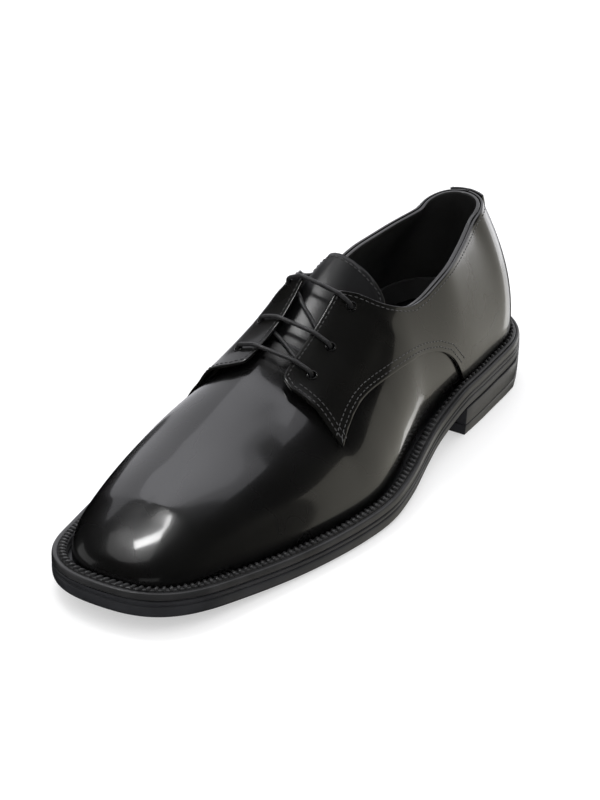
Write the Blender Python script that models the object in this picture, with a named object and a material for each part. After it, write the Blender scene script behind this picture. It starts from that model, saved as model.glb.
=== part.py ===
"""A man's derby shoe for the left foot, with a square toe and three pairs of eyelets.

Metres, +Z up. The floor is z = 0, the toe points to -Y and the outer (lateral) side of the foot is +X.
"along" in the tables and functions is the distance from the back of the heel, as a share of LENGTH.
"""

from collections import namedtuple
from functools import cache
from math import cos, hypot, pi, sin

import bmesh
import bpy
from mathutils import Vector

# Driving sizes, in metres
LENGTH = 0.308
BALL_WIDTH = 0.115
HEEL_HEIGHT = 0.014
TOE_SPRING = 0.008
SOLE_THICKNESS = 0.0082
TOP_LIFT_THICKNESS = 0.005
WELT_THICKNESS = 0.0032
WELT_AT_HEEL = 0.0066
WELT_AT_TOE = 0.0088
INSTEP_HEIGHT = 0.072
COLLAR_HEIGHT = 0.067
UPPER_WALL = 0.0018
QUARTER_LEATHER = 0.0012
TONGUE_THICKNESS = 0.0022
INSOLE_THICKNESS = 0.0032
LACE_DIAMETER = 0.0022
EYELET_DIAMETER = 0.0039
FLAP_LIFT = 0.0027
SLOT_PAST_EYELETS = 0.003
TONGUE_PAST_SLOT = 0.0045
TAB_HALF_WIDTH = 0.0085
TAB_HEIGHT = 0.019
GAP = 0.0003
QUARTER_GAP = 0.0006

# How finely each stretch of the footprint is divided
HEEL_STEPS = 6
TOE_STEPS = 8
WALL_ROWS = 13
CROWN_ROWS = 5
FLAP_ROWS = 13
LACE_SIDES = 3

# Where the footprint's round ends begin
HEEL_CENTRE = 0.12
TOE_CENTRE = 0.86
HEEL_BREAST = 0.258

# Where the vamp closes over the tongue, where the quarters' flaps end, and where the facings end at the top
THROAT = 0.513
FLAP_END = 0.585
FACING_TOP = 0.449

# The footprint of the sole: a row for each station, half-widths as shares of BALL_WIDTH
Footprint = namedtuple("Footprint", "along lateral medial")
FOOTPRINT = (
    Footprint(0.00, 0.318, 0.318),
    Footprint(0.12, 0.330, 0.328),
    Footprint(0.20, 0.352, 0.327),
    Footprint(0.27, 0.365, 0.318),
    Footprint(0.34, 0.377, 0.312),
    Footprint(0.40, 0.411, 0.330),
    Footprint(0.47, 0.460, 0.383),
    Footprint(0.545, 0.490, 0.452),
    Footprint(0.633, 0.474, 0.504),
    Footprint(0.708, 0.437, 0.507),
    Footprint(0.79, 0.387, 0.476),
    Footprint(0.86, 0.337, 0.432),
)
TOE_TAPER_LATERAL = 0.23
TOE_TAPER_MEDIAL = 0.20
TOE_SQUARE_LATERAL = 3.2
TOE_SQUARE_MEDIAL = 2.7

# The sole from the side: its underside as shares of HEEL_HEIGHT and TOE_SPRING, its thickness as a share
Sole = namedtuple("Sole", "along heel spring thickness")
SOLE = (
    Sole(0.00, 1.00, 0.00, 0.86),
    Sole(0.258, 1.00, 0.00, 0.86),
    Sole(0.31, 0.76, 0.00, 0.88),
    Sole(0.375, 0.45, 0.00, 0.92),
    Sole(0.455, 0.17, 0.00, 0.96),
    Sole(0.535, 0.025, 0.00, 1.00),
    Sole(0.590, 0.00, 0.00, 1.00),
    Sole(0.700, 0.00, 0.00, 1.00),
    Sole(0.78, 0.00, 0.11, 1.03),
    Sole(0.86, 0.00, 0.35, 1.06),
    Sole(0.94, 0.00, 0.71, 1.08),
    Sole(1.00, 0.00, 1.00, 1.08),
)

# The last: ridge height as a share of INSTEP_HEIGHT, how square each half of the section is, how far its
# wall bulges and leans in as shares of BALL_WIDTH, the ridge's offset to the lateral side, and how far the
# section is an arch (1) instead of an open wall (0)
Last = namedtuple("Last", "along ridge square_lateral square_medial bulge lean_lateral lean_medial offset arch")
LAST = (
    Last(0.00, 1.30, 2.0, 2.0, 0.030, 0.172, 0.172, 0.000, 0.0),
    Last(0.035, 1.30, 2.0, 2.0, 0.031, 0.270, 0.300, 0.000, 0.0),
    Last(0.12, 1.30, 2.0, 2.0, 0.030, 0.358, 0.415, 0.000, 0.0),
    Last(0.16, 1.30, 2.0, 2.0, 0.030, 0.312, 0.356, -0.004, 0.0),
    Last(0.205, 1.28, 2.0, 2.0, 0.028, 0.263, 0.319, -0.012, 0.0),
    Last(0.26, 1.25, 2.0, 2.0, 0.026, 0.205, 0.270, -0.028, 0.0),
    Last(0.305, 1.22, 2.0, 2.0, 0.026, 0.215, 0.260, -0.042, 0.05),
    Last(0.36, 1.16, 2.0, 2.0, 0.027, 0.215, 0.240, -0.060, 0.25),
    Last(0.40, 1.10, 1.95, 2.05, 0.027, 0.160, 0.170, -0.070, 0.60),
    Last(0.45, 0.995, 1.88, 2.15, 0.025, 0.100, 0.100, -0.078, 0.95),
    Last(0.505, 0.860, 1.85, 2.2, 0.022, 0.090, 0.090, -0.080, 1.0),
    Last(0.565, 0.750, 1.84, 2.2, 0.020, 0.080, 0.080, -0.080, 1.0),
    Last(0.62, 0.682, 2.00, 2.25, 0.018, 0.080, 0.080, -0.076, 1.0),
    Last(0.67, 0.625, 2.22, 2.3, 0.016, 0.080, 0.080, -0.072, 1.0),
    Last(0.735, 0.545, 2.38, 2.4, 0.014, 0.080, 0.080, -0.064, 1.0),
    Last(0.80, 0.475, 2.55, 2.55, 0.012, 0.080, 0.080, -0.056, 1.0),
    Last(0.832, 0.437, 2.65, 2.65, 0.011, 0.080, 0.080, -0.052, 1.0),
    Last(0.852, 0.406, 2.7, 2.7, 0.010, 0.080, 0.080, -0.049, 1.0),
    Last(0.90, 0.311, 2.8, 2.8, 0.009, 0.080, 0.080, -0.048, 1.0),
    Last(0.945, 0.232, 2.8, 2.8, 0.008, 0.080, 0.080, -0.048, 1.0),
    Last(0.97, 0.200, 2.8, 2.8, 0.008, 0.080, 0.080, -0.048, 1.0),
    Last(1.00, 0.150, 2.8, 2.8, 0.008, 0.080, 0.080, -0.048, 1.0),
)

# The collar's edge above the feather line, as shares of COLLAR_HEIGHT
Topline = namedtuple("Topline", "along lateral medial")
TOPLINE = (
    Topline(0.00, 0.966, 0.966),
    Topline(0.08, 0.940, 0.935),
    Topline(0.12, 0.913, 0.924),
    Topline(0.162, 0.894, 0.898),
    Topline(0.205, 0.879, 0.884),
    Topline(0.26, 0.864, 0.880),
    Topline(0.292, 0.858, 0.900),
    Topline(0.331, 0.860, 0.925),
    Topline(0.351, 0.887, 0.955),
    Topline(0.38, 0.955, 1.010),
    Topline(0.412, 1.045, 1.100),
    Topline(0.432, 1.125, 1.170),
    Topline(0.449, 1.240, 1.255),
)

# The quarter's lower seam above the feather line, as shares of COLLAR_HEIGHT
Seam = namedtuple("Seam", "along height")
SEAM = (
    Seam(0.238, 0.000),
    Seam(0.252, 0.150),
    Seam(0.270, 0.290),
    Seam(0.293, 0.400),
    Seam(0.322, 0.500),
    Seam(0.375, 0.605),
    Seam(0.435, 0.645),
    Seam(0.495, 0.630),
    Seam(0.535, 0.575),
    Seam(0.585, 0.455),
)

# The facings: the flap's edge and the eyelets, as offsets from the heel's axis in shares of BALL_WIDTH
Facing = namedtuple("Facing", "along lateral_edge medial_edge lateral_eyelet medial_eyelet")
FACINGS = (
    Facing(0.400, 0.040, -0.066, 0.104, -0.145),
    Facing(0.440, 0.036, -0.078, 0.106, -0.152),
    Facing(0.4975, 0.030, -0.096, 0.112, -0.179),
    Facing(0.5475, 0.027, -0.112, 0.113, -0.196),
    Facing(0.585, 0.027, -0.124, 0.115, -0.204),
)
EYELETS = (0.5475, 0.4975, 0.440)

# The tongue: its stations, how far under the upper's surface it lies, its two widths at the top as
# shares of its width lower down, the stations between which they blend, and its rounded corners
TONGUE_FRONT = 0.60
TONGUE_TOP = 0.368
TONGUE_DROP = UPPER_WALL + 0.0008
TONGUE_TOP_LATERAL = 1.52
TONGUE_TOP_MEDIAL = 0.74
TONGUE_TOP_WIDE = 0.40
TONGUE_TOP_PLAIN = 0.45
TONGUE_CORNER = 0.010
TONGUE_CORNER_CUT = 0.16
TONGUE_FRONT_CUT = 0.28


def along_table(rows, column, at):
    """The named column of a table at a station, on a smooth curve through its rows."""
    stations = [row.along for row in rows]
    values = [getattr(row, column) for row in rows]
    if at <= stations[0]:
        return values[0]
    if at >= stations[-1]:
        return values[-1]
    i = max(n for n, station in enumerate(stations[:-1]) if station <= at)

    def slope(n):
        before = max(n - 1, 0)
        after = min(n + 1, len(rows) - 1)
        rise = values[after] - values[before]
        if before < n < after and (values[after] - values[n]) * (values[n] - values[before]) <= 0:
            return 0.0
        return rise / (stations[after] - stations[before])

    step = stations[i + 1] - stations[i]
    t = (at - stations[i]) / step
    return (
        (2 * t**3 - 3 * t**2 + 1) * values[i]
        + (t**3 - 2 * t**2 + t) * step * slope(i)
        + (3 * t**2 - 2 * t**3) * values[i + 1]
        + (t**3 - t**2) * step * slope(i + 1)
    )


def sole_bottom(at):
    return HEEL_HEIGHT * along_table(SOLE, "heel", at) + TOE_SPRING * along_table(SOLE, "spring", at)


def sole_top(at):
    return sole_bottom(at) + SOLE_THICKNESS * along_table(SOLE, "thickness", at)


def feather(at):
    """The height of the line where the upper meets the sole."""
    return sole_top(at) + GAP


# Spokes: half-planes that stand on the footprint's spine, each reaching out to one point of its edge
Spoke = namedtuple("Spoke", "x along dx dy edge station side")


def spine(at):
    """The sideways place of the ridge, towards the lateral side."""
    return BALL_WIDTH * along_table(LAST, "offset", min(max(at, HEEL_CENTRE), TOE_CENTRE))


def side_edge(at, side):
    column = "lateral" if side > 0 else "medial"
    return BALL_WIDTH * along_table(FOOTPRINT, column, at)


def heel_reach(turn, side):
    """The heel's edge from its centre: turn goes from 0 at the side to a quarter turn at the back."""
    across = side_edge(HEEL_CENTRE, side)
    back = HEEL_CENTRE * LENGTH
    return 1 / hypot(cos(turn) / across, sin(turn) / back)


def toe_reach(turn, side):
    """The toe's edge from its centre: a squared ellipse that narrows towards the front."""
    across = side_edge(TOE_CENTRE, side) - side * spine(TOE_CENTRE)
    front = (1 - TOE_CENTRE) * LENGTH
    square = TOE_SQUARE_LATERAL if side > 0 else TOE_SQUARE_MEDIAL
    taper = TOE_TAPER_LATERAL if side > 0 else TOE_TAPER_MEDIAL
    low, high = 0.0, 2 * hypot(across, front)
    for _ in range(40):
        reach = (low + high) / 2
        forward = reach * sin(turn)
        narrowed = across - taper * forward
        inside = (reach * cos(turn) / narrowed) ** square + (forward / front) ** square < 1
        low, high = (reach, high) if inside else (low, reach)
    return low


SIDE_STATIONS = (
    0.16, 0.20, 0.235, HEEL_BREAST, 0.285, 0.315, 0.345, 0.364, 0.380, 0.394, 0.408, 0.422, 0.436,
    0.449, 0.470, 0.492, THROAT, 0.535, 0.558, 0.574, FLAP_END, 0.61, 0.65, 0.70, 0.75, 0.805, TOE_CENTRE,
)  # fmt: skip


def half_ring(side):
    """The spokes of one side, from the back of the heel to the front of the toe."""
    spokes = []
    for n in range(HEEL_STEPS, -1, -1):
        turn = pi / 2 * n / HEEL_STEPS
        reach = heel_reach(turn, side)
        station = HEEL_CENTRE - reach * sin(turn) / LENGTH
        spokes.append(Spoke(0.0, HEEL_CENTRE, side * cos(turn), sin(turn), reach, station, side))
    for station in SIDE_STATIONS:
        middle = spine(station)
        reach = side_edge(station, side) - side * middle
        spokes.append(Spoke(middle, station, float(side), 0.0, reach, station, side))
    for n in range(1, TOE_STEPS + 1):
        turn = pi / 2 * n / TOE_STEPS
        reach = toe_reach(turn, side)
        station = TOE_CENTRE + reach * sin(turn) / LENGTH
        spokes.append(Spoke(spine(TOE_CENTRE), TOE_CENTRE, side * cos(turn), -sin(turn), reach, station, side))
    return spokes


LATERAL = half_ring(1)
MEDIAL = half_ring(-1)
RING = LATERAL + MEDIAL[-2:0:-1]
LAST_SPOKE = len(LATERAL) - 1
THROAT_SPOKE = HEEL_STEPS + 1 + SIDE_STATIONS.index(THROAT)
FLAP_SPOKE = HEEL_STEPS + 1 + SIDE_STATIONS.index(FLAP_END)
BREAST_SPOKE = HEEL_STEPS + 1 + SIDE_STATIONS.index(HEEL_BREAST)
EDGE_XS = [s.x + s.dx * s.edge for s in RING]
CENTRE_X = (max(EDGE_XS) + min(EDGE_XS)) / 2


def place(spoke, reach, height):
    """The world point at a distance along a spoke."""
    x = spoke.x + spoke.dx * reach - CENTRE_X
    y = LENGTH / 2 - spoke.along * LENGTH + spoke.dy * reach
    return Vector((x, y, height))


def station_of(spoke, reach):
    """The station of the point at a distance along a spoke."""
    return spoke.along - spoke.dy * reach / LENGTH


def welt_reach(spoke):
    """How far the welt stands out beyond the upper."""
    return WELT_AT_HEEL + (WELT_AT_TOE - WELT_AT_HEEL) * min(spoke.station / TOE_CENTRE, 1.0)


def spoke_at(station, side):
    """A spoke square to the side, at any station."""
    middle = spine(station)
    return Spoke(middle, station, float(side), 0.0, side_edge(station, side) - side * middle, station, side)


@cache
def slant(spoke):
    """How square the spoke meets the footprint's edge: 1 when it is square."""
    if spoke.dy == 0:
        step = 0.004
        behind = spoke_at(spoke.station - step, spoke.side)
        ahead = spoke_at(spoke.station + step, spoke.side)
    else:
        half = LATERAL if spoke.side > 0 else MEDIAL
        other = MEDIAL if spoke.side > 0 else LATERAL
        n = half.index(spoke)
        behind = half[n - 1] if n > 0 else other[1]
        ahead = half[n + 1] if n < LAST_SPOKE else other[-2]
    edge_line = place(ahead, ahead.edge, 0) - place(behind, behind.edge, 0)
    outward = Vector((edge_line.y, -edge_line.x, 0)).normalized()
    return max(abs(outward.x * spoke.dx + outward.y * spoke.dy), 0.5)


def inset(spoke, inwards):
    """The reach of a line that runs inside the footprint's edge, square to it."""
    return spoke.edge - inwards / slant(spoke)


@cache
def last_point(spoke, v, grow=0.0, arch_only=False):
    """A point of the last's surface: v goes from 0 at the feather line to 1 at the ridge."""
    foot = inset(spoke, welt_reach(spoke)) + grow
    table = lambda column: along_table(LAST, column, spoke.station)
    half = "lateral" if spoke.side > 0 else "medial"
    power = 2 / table(f"square_{half}")
    turn = min(max(v, 0.0), 1.0) * pi / 2 * 0.9999999
    arch_reach = foot * cos(turn) ** power + BALL_WIDTH * table("bulge") * sin(2 * turn) * cos(turn)
    at = station_of(spoke, arch_reach)
    ridge = INSTEP_HEIGHT * along_table(LAST, "ridge", at)
    arch_height = feather(at) + (ridge + grow) * sin(turn) ** power
    share = 1.0 if arch_only else table("arch")
    if share >= 1:
        return place(spoke, arch_reach, arch_height)
    wall_reach = foot + BALL_WIDTH * (table("bulge") * sin(pi * v) - table(f"lean_{half}") * v * v)
    at = station_of(spoke, wall_reach)
    wall_height = feather(at) + 1.35 * COLLAR_HEIGHT * v
    reach = share * arch_reach + (1 - share) * wall_reach
    height = share * arch_height + (1 - share) * wall_height
    return place(spoke, reach, height)


def solve(wanted):
    """The v between 0 and 1 where a rising function passes zero."""
    low, high = 0.0, 1.0
    for _ in range(30):
        middle = (low + high) / 2
        low, high = (middle, high) if wanted(middle) < 0 else (low, middle)
    return low


def v_at_height(spoke, height):
    return solve(lambda v: last_point(spoke, v).z - height)


def v_at_offset(spoke, offset):
    """Where a spoke's section is this far from the ridge, or as far as its upper half reaches."""
    middle = place(spoke, 0, 0)
    flat = lambda p: hypot(p.x - middle.x, p.y - middle.y)
    nearer = min(offset, 0.84 * flat(last_point(spoke, 0)))
    return solve(lambda v: nearer - flat(last_point(spoke, v)))


def topline_v(spoke):
    column = "lateral" if spoke.side > 0 else "medial"
    height = feather(spoke.station) + COLLAR_HEIGHT * along_table(TOPLINE, column, spoke.station)
    return v_at_height(spoke, height)


def eyelet_offset(station, side):
    """How far the row of eyelets runs from the ridge."""
    column = "lateral_eyelet" if side > 0 else "medial_eyelet"
    return side * (BALL_WIDTH * along_table(FACINGS, column, station) - spine(station))


def slot_offset(spoke):
    """How far the slot over the tongue reaches from the ridge. The vamp's crown starts there too."""
    station = min(spoke.station, TOE_CENTRE)
    reach = eyelet_offset(station, spoke.side) + SLOT_PAST_EYELETS
    return min(reach, 0.55 * spoke.edge)


@cache
def mouth_v(spoke):
    """Where the upper's wall ends: at the collar, at the slot over the tongue, or where the vamp's crown begins."""
    slot = v_at_offset(spoke, slot_offset(spoke))
    if spoke.station < TONGUE_TOP:
        return topline_v(spoke)
    if spoke.station < FACING_TOP:
        return min(topline_v(spoke), slot)
    return slot


def new_object(name, bm, colour, roughness=0.4, metallic=0.0):
    """The mesh as an object with its own material, smooth but for its sharp edges."""
    mesh = bpy.data.meshes.new(name)
    bmesh.ops.remove_doubles(bm, verts=bm.verts, dist=1e-6)
    bmesh.ops.recalc_face_normals(bm, faces=bm.faces)
    bm.to_mesh(mesh)
    bm.free()
    mesh.shade_smooth()
    mesh.set_sharp_from_angle(angle=0.7)
    material = bpy.data.materials.new(name)
    material.use_nodes = True
    shader = material.node_tree.nodes["Principled BSDF"]
    shader.inputs["Base Color"].default_value = (*colour, 1)
    shader.inputs["Roughness"].default_value = roughness
    shader.inputs["Metallic"].default_value = metallic
    mesh.materials.append(material)
    obj = bpy.data.objects.new(name, mesh)
    bpy.context.scene.collection.objects.link(obj)
    return obj


def add_grid(bm, rows):
    """Vertices and faces of a grid of points, given row by row."""
    verts = [[bm.verts.new(point) for point in row] for row in rows]
    for below, above in zip(verts, verts[1:]):
        for n in range(len(below) - 1):
            bm.faces.new((below[n], below[n + 1], above[n + 1], above[n]))
    return verts


def bridge(bm, first, second):
    """Faces between two rows of vertices."""
    for n in range(len(first) - 1):
        bm.faces.new((first[n], first[n + 1], second[n + 1], second[n]))


def add_prism_rings(bm, rings):
    """A closed tube of rings, joined end to end: each ring is one section of a band round the shoe."""
    verts = [[bm.verts.new(point) for point in ring] for ring in rings]
    for n, ring in enumerate(verts):
        following = verts[(n + 1) % len(verts)]
        for i in range(len(ring)):
            j = (i + 1) % len(ring)
            bm.faces.new((ring[i], ring[j], following[j], following[i]))


def build_upper():
    """The vamp and the quarters' lining in one wall: open underneath, at the collar and over the tongue."""
    bm = bmesh.new()
    ring = RING + RING[:1]
    shells = []
    for grow in (0.0, -UPPER_WALL):
        rows = []
        for n in range(WALL_ROWS + 1):
            rows.append([last_point(s, mouth_v(s) * n / WALL_ROWS, grow) for s in ring])
        wall = add_grid(bm, rows)
        crown_spokes = RING[THROAT_SPOKE : len(RING) - THROAT_SPOKE + 1]
        rows = []
        for n in range(CROWN_ROWS + 1):
            share = n / CROWN_ROWS
            rows.append([last_point(s, mouth_v(s) * (1 - share) + share, grow) for s in crown_spokes])
        crown = add_grid(bm, rows)
        shells.append((wall, crown))
    (outer_wall, outer_crown), (inner_wall, inner_crown) = shells
    bridge(bm, outer_wall[0], inner_wall[0])
    bridge(bm, outer_wall[-1][: THROAT_SPOKE + 1], inner_wall[-1][: THROAT_SPOKE + 1])
    medial_start = len(RING) - THROAT_SPOKE
    bridge(bm, outer_wall[-1][medial_start:], inner_wall[-1][medial_start:])
    for end in (0, -1):
        bridge(bm, [row[end] for row in outer_crown], [row[end] for row in inner_crown])
    return new_object("upper", bm, (0.012, 0.012, 0.013), 0.2)


def seam_v(spoke):
    """Where the quarter's lower edge runs."""
    height = feather(spoke.station) + COLLAR_HEIGHT * along_table(SEAM, "height", spoke.station)
    return v_at_height(spoke, height) if spoke.station > SEAM[0].along else 0.0


def facing_offset(spoke):
    """How far the facing's edge is from the ridge."""
    column = "lateral_edge" if spoke.side > 0 else "medial_edge"
    return spoke.side * (BALL_WIDTH * along_table(FACINGS, column, spoke.station) - spine(spoke.station))


def flap_v(spoke):
    """Where the quarter's upper edge runs: the collar, a rounded corner, then the facing."""
    if spoke.station < FACING_TOP - 0.03:
        return topline_v(spoke)
    facing = v_at_offset(spoke, max(facing_offset(spoke), 0.0015))
    if spoke.station <= FACING_TOP:
        return min(topline_v(spoke), facing)
    before_end = (FLAP_END - spoke.station) * LENGTH
    round_off = 0.0065
    if before_end < round_off:
        drop = round_off - (round_off**2 - (round_off - before_end) ** 2) ** 0.5
        return v_at_offset(spoke, max(facing_offset(spoke), 0.0015) + drop)
    return facing


def flap_lift(spoke, v):
    """The flap stands off the vamp near the facing, where the lace runs under it."""
    near_edge = min(max((v - mouth_v(spoke) + 0.22) / 0.17, 0.0), 1.0)
    past_corner = min(max((spoke.station - 0.392) / 0.04, 0.0), 1.0)
    return FLAP_LIFT * (3 - 2 * near_edge) * near_edge**2 * (3 - 2 * past_corner) * past_corner**2


def quarter_point(spoke, v, outside):
    """A point of the quarter's inner face, or of its outer one."""
    grow = QUARTER_GAP + (QUARTER_LEATHER if outside else 0.0) + flap_lift(spoke, v)
    return last_point(spoke, v, grow)


def punched(obj, side):
    """The quarter with its eyelets cut through."""
    for n, station in enumerate(EYELETS):
        centre, normal = eyelet(station, side)
        bpy.ops.mesh.primitive_cylinder_add(vertices=12, radius=EYELET_DIAMETER / 2, depth=0.016)
        cutter = bpy.context.object
        cutter.name = f"cutter_{obj.name}_{n}"
        cutter.location = centre
        cutter.rotation_euler = normal.to_track_quat("Z", "Y").to_euler()
        cutter.hide_render = True
        cutter.display_type = "WIRE"
        hole = obj.modifiers.new(f"eyelet {n}", "BOOLEAN")
        hole.operation = "DIFFERENCE"
        hole.object = cutter


def surface_point(station, side, offset, grow):
    """A point over the last, by its station and its distance from the ridge."""
    spoke = spoke_at(station, side)
    return last_point(spoke, v_at_offset(spoke, offset), grow, True)


def on_flap(station, side, offset):
    """A point of the flap's outer face and the direction that the face looks."""
    spoke = spoke_at(station, side)
    v = v_at_offset(spoke, offset)
    point = quarter_point(spoke, v, True)
    across = quarter_point(spoke, v + 0.02, True) - quarter_point(spoke, v - 0.02, True)
    ahead = surface_point(station + 0.01, side, offset, 0)
    behind = surface_point(station - 0.01, side, offset, 0)
    normal = across.cross(ahead - behind).normalized()
    return point, normal if normal.z > 0 else -normal


def eyelet(station, side):
    """An eyelet's centre on the flap and the direction that it faces."""
    return on_flap(station, side, eyelet_offset(station, side))


def build_quarter(name, side):
    """One quarter, cut between two larger forms of the last, with its facing flap and three eyelets."""
    bm = bmesh.new()
    half = (LATERAL if side > 0 else MEDIAL)[: FLAP_SPOKE + 1]
    faces = []
    for outside in (True, False):
        rows = []
        for n in range(FLAP_ROWS + 1):
            row = []
            for spoke in half:
                low = seam_v(spoke)
                v = low + (flap_v(spoke) - low) * n / FLAP_ROWS
                point = quarter_point(spoke, v, outside).copy()
                if spoke is half[0]:
                    point.x += side * GAP / 2
                row.append(point)
            rows.append(row)
        faces.append(add_grid(bm, rows))
    outer, inner = faces
    bridge(bm, outer[0], inner[0])
    bridge(bm, outer[-1], inner[-1])
    for end in (0, -1):
        bridge(bm, [row[end] for row in outer], [row[end] for row in inner])
    obj = new_object(name, bm, (0.012, 0.012, 0.013), 0.2)
    punched(obj, side)
    return obj


def build_heel_tab():
    """The small strap over the top of the back seam."""
    bm = bmesh.new()
    spokes = MEDIAL[3:0:-1] + LATERAL[:4]
    faces = []
    under = QUARTER_GAP + QUARTER_LEATHER + 0.0008
    for grow in (under + QUARTER_LEATHER, under):
        rows = []
        for n in range(5):
            row = []
            for i, spoke in enumerate(spokes):
                across = (i - 3) / 3
                back = LATERAL[0]
                top = topline_v(back)
                depth = TAB_HEIGHT * (1 - n / 4)
                v = v_at_height(back, last_point(back, top).z - depth)
                point = last_point(back, v, grow).copy()
                width = TAB_HALF_WIDTH * (0.45 + 0.55 * (n / 4) ** 0.7)
                x = across * width
                side = LATERAL if across >= 0 else MEDIAL
                spread = along_back(side, abs(x), v, grow)
                point.x = x + place(back, 0, 0).x
                point.y = spread
                row.append(point)
            rows.append(row)
        faces.append(add_grid(bm, rows))
    outer, inner = faces
    bridge(bm, outer[0], inner[0])
    bridge(bm, outer[-1], inner[-1])
    for end in (0, -1):
        bridge(bm, [row[end] for row in outer], [row[end] for row in inner])
    return new_object("heel_tab", bm, (0.012, 0.012, 0.013), 0.2)


def along_back(half, offset, v, grow):
    """The y of the back's surface at a sideways offset from the back seam."""
    points = [last_point(spoke, v, grow) for spoke in half[:HEEL_STEPS]]
    middle = points[0].x
    for first, second in zip(points, points[1:]):
        near, far = abs(first.x - middle), abs(second.x - middle)
        if near <= offset <= far:
            t = (offset - near) / (far - near)
            return first.y + (second.y - first.y) * t
    return points[0].y


def build_tongue():
    """The tongue: a curved plate under the facings, with a rounded top."""
    bm = bmesh.new()
    stations = [TONGUE_TOP + (TONGUE_FRONT - TONGUE_TOP) * n / 12 for n in range(13)]
    sheets = []
    for drop in (TONGUE_DROP, TONGUE_DROP + TONGUE_THICKNESS):
        rows = []
        for n, station in enumerate(stations):
            row = []
            for i in range(-6, 7):
                side = 1 if i >= 0 else -1
                corner = min((station - TONGUE_TOP) * LENGTH / TONGUE_CORNER, 1.0)
                rounded = 1 - TONGUE_CORNER_CUT * (1 - (1 - (1 - corner) ** 2) ** 0.5)
                narrowed = 1 - TONGUE_FRONT_CUT * max((station - THROAT) / (TONGUE_FRONT - THROAT), 0.0)
                slot = eyelet_offset(station, side) + SLOT_PAST_EYELETS + TONGUE_PAST_SLOT
                below_top = (station - TONGUE_TOP_WIDE) / (TONGUE_TOP_PLAIN - TONGUE_TOP_WIDE)
                below_top = min(max(below_top, 0.0), 1.0)
                top_width = TONGUE_TOP_LATERAL if side > 0 else TONGUE_TOP_MEDIAL
                rounded *= top_width + (1 - top_width) * below_top
                offset = slot * rounded * narrowed * abs(i) / 6
                point = surface_point(station, side, offset, -drop)
                row.append(point)
            rows.append(row)
        sheets.append(add_grid(bm, rows))
    upper_sheet, lower_sheet = sheets
    bridge(bm, upper_sheet[0], lower_sheet[0])
    bridge(bm, upper_sheet[-1], lower_sheet[-1])
    for end in (0, -1):
        bridge(bm, [row[end] for row in upper_sheet], [row[end] for row in lower_sheet])
    return new_object("tongue", bm, (0.02, 0.02, 0.022), 0.35)


def build_plate(name, levels, colour, roughness, spokes=RING):
    """A closed plate round the footprint: each level is (inset, height) as functions of a spoke."""
    bm = bmesh.new()
    rings = []
    for inwards, height in levels:
        ring = []
        for spoke in spokes:
            reach = inset(spoke, inwards(spoke))
            ring.append(bm.verts.new(place(spoke, reach, height(station_of(spoke, reach)))))
        rings.append(ring)
    for below, above in zip(rings, rings[1:]):
        bridge(bm, below + below[:1], above + above[:1])
    # Strips across the footprint close the two faces, spoke to facing spoke
    for ring in (rings[0], rings[-1]):
        count = len(ring)
        for n in range(count // 2):
            a, b = ring[n], ring[n + 1]
            c, d = ring[(count - n - 1) % count], ring[(count - n) % count]
            corners = list(dict.fromkeys((a, b, c, d)))
            if len(corners) > 2:
                bm.faces.new(corners)
    return new_object(name, bm, colour, roughness)


def build_outsole():
    """The outsole: arch, toe spring, a groove under its top edge and a rounded lower edge."""
    deep = lambda metres: (lambda spoke: metres)
    up = lambda share: (lambda at: sole_bottom(at) + share * (sole_top(at) - sole_bottom(at)))
    levels = (
        (deep(0.0022), up(0.0)),
        (deep(0.0007), up(0.10)),
        (deep(0.0), up(0.28)),
        (deep(0.0), up(0.66)),
        (deep(0.0007), up(0.72)),
        (deep(0.0), up(0.80)),
        (deep(0.0), up(1.0)),
    )
    return build_plate("outsole", levels, (0.03, 0.03, 0.033), 0.5)


def build_heel(name, bottom, top, taper_bottom, taper_top):
    """A layer of the heel, from the back to the straight breast."""
    half = LATERAL[: BREAST_SPOKE + 1]
    other = MEDIAL[1 : BREAST_SPOKE + 1]
    spokes = half + other[::-1]
    height = lambda metres: (lambda at: metres)
    narrow = lambda metres: (lambda spoke: metres)
    levels = ((narrow(taper_bottom), height(bottom)), (narrow(taper_top), height(top)))
    return build_plate(name, levels, (0.03, 0.03, 0.033), 0.5, spokes)


def build_insole():
    """The insole: it fills the upper's floor."""
    edge = lambda spoke: welt_reach(spoke) + UPPER_WALL + GAP
    levels = ((edge, feather), (edge, lambda at: feather(at) + INSOLE_THICKNESS))
    return build_plate("insole", levels, (0.01, 0.01, 0.01), 0.6)


def trench(spoke):
    """The gap between the upper's wall and the welt: wider where a quarter reaches down into it."""
    return 0.0027 - 0.0009 * min(max((spoke.station - 0.27) / 0.3, 0.0), 1.0)


def build_welt():
    """The storm welt: a rim, a groove, a ribbed band and a lip towards the upper."""
    bm = bmesh.new()
    rings = []
    for spoke in RING:
        outer = welt_reach(spoke) - trench(spoke)
        section = (
            (0.0, 0.0),
            (0.0, 0.82),
            (0.0006, 1.0),
            (0.34 * outer, 1.0),
            (0.40 * outer, 0.80),
            (0.48 * outer, 1.12),
            (0.86 * outer, 1.20),
            (1.0 * outer, 0.95),
            (1.0 * outer, 0.0),
        )
        ring = []
        for inwards, share in section:
            reach = inset(spoke, inwards)
            base = sole_top(station_of(spoke, reach)) + GAP
            ring.append(place(spoke, reach, base + share * WELT_THICKNESS))
        rings.append(ring)
    add_prism_rings(bm, rings)
    return new_object("welt", bm, (0.02, 0.02, 0.022), 0.4)


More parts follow.
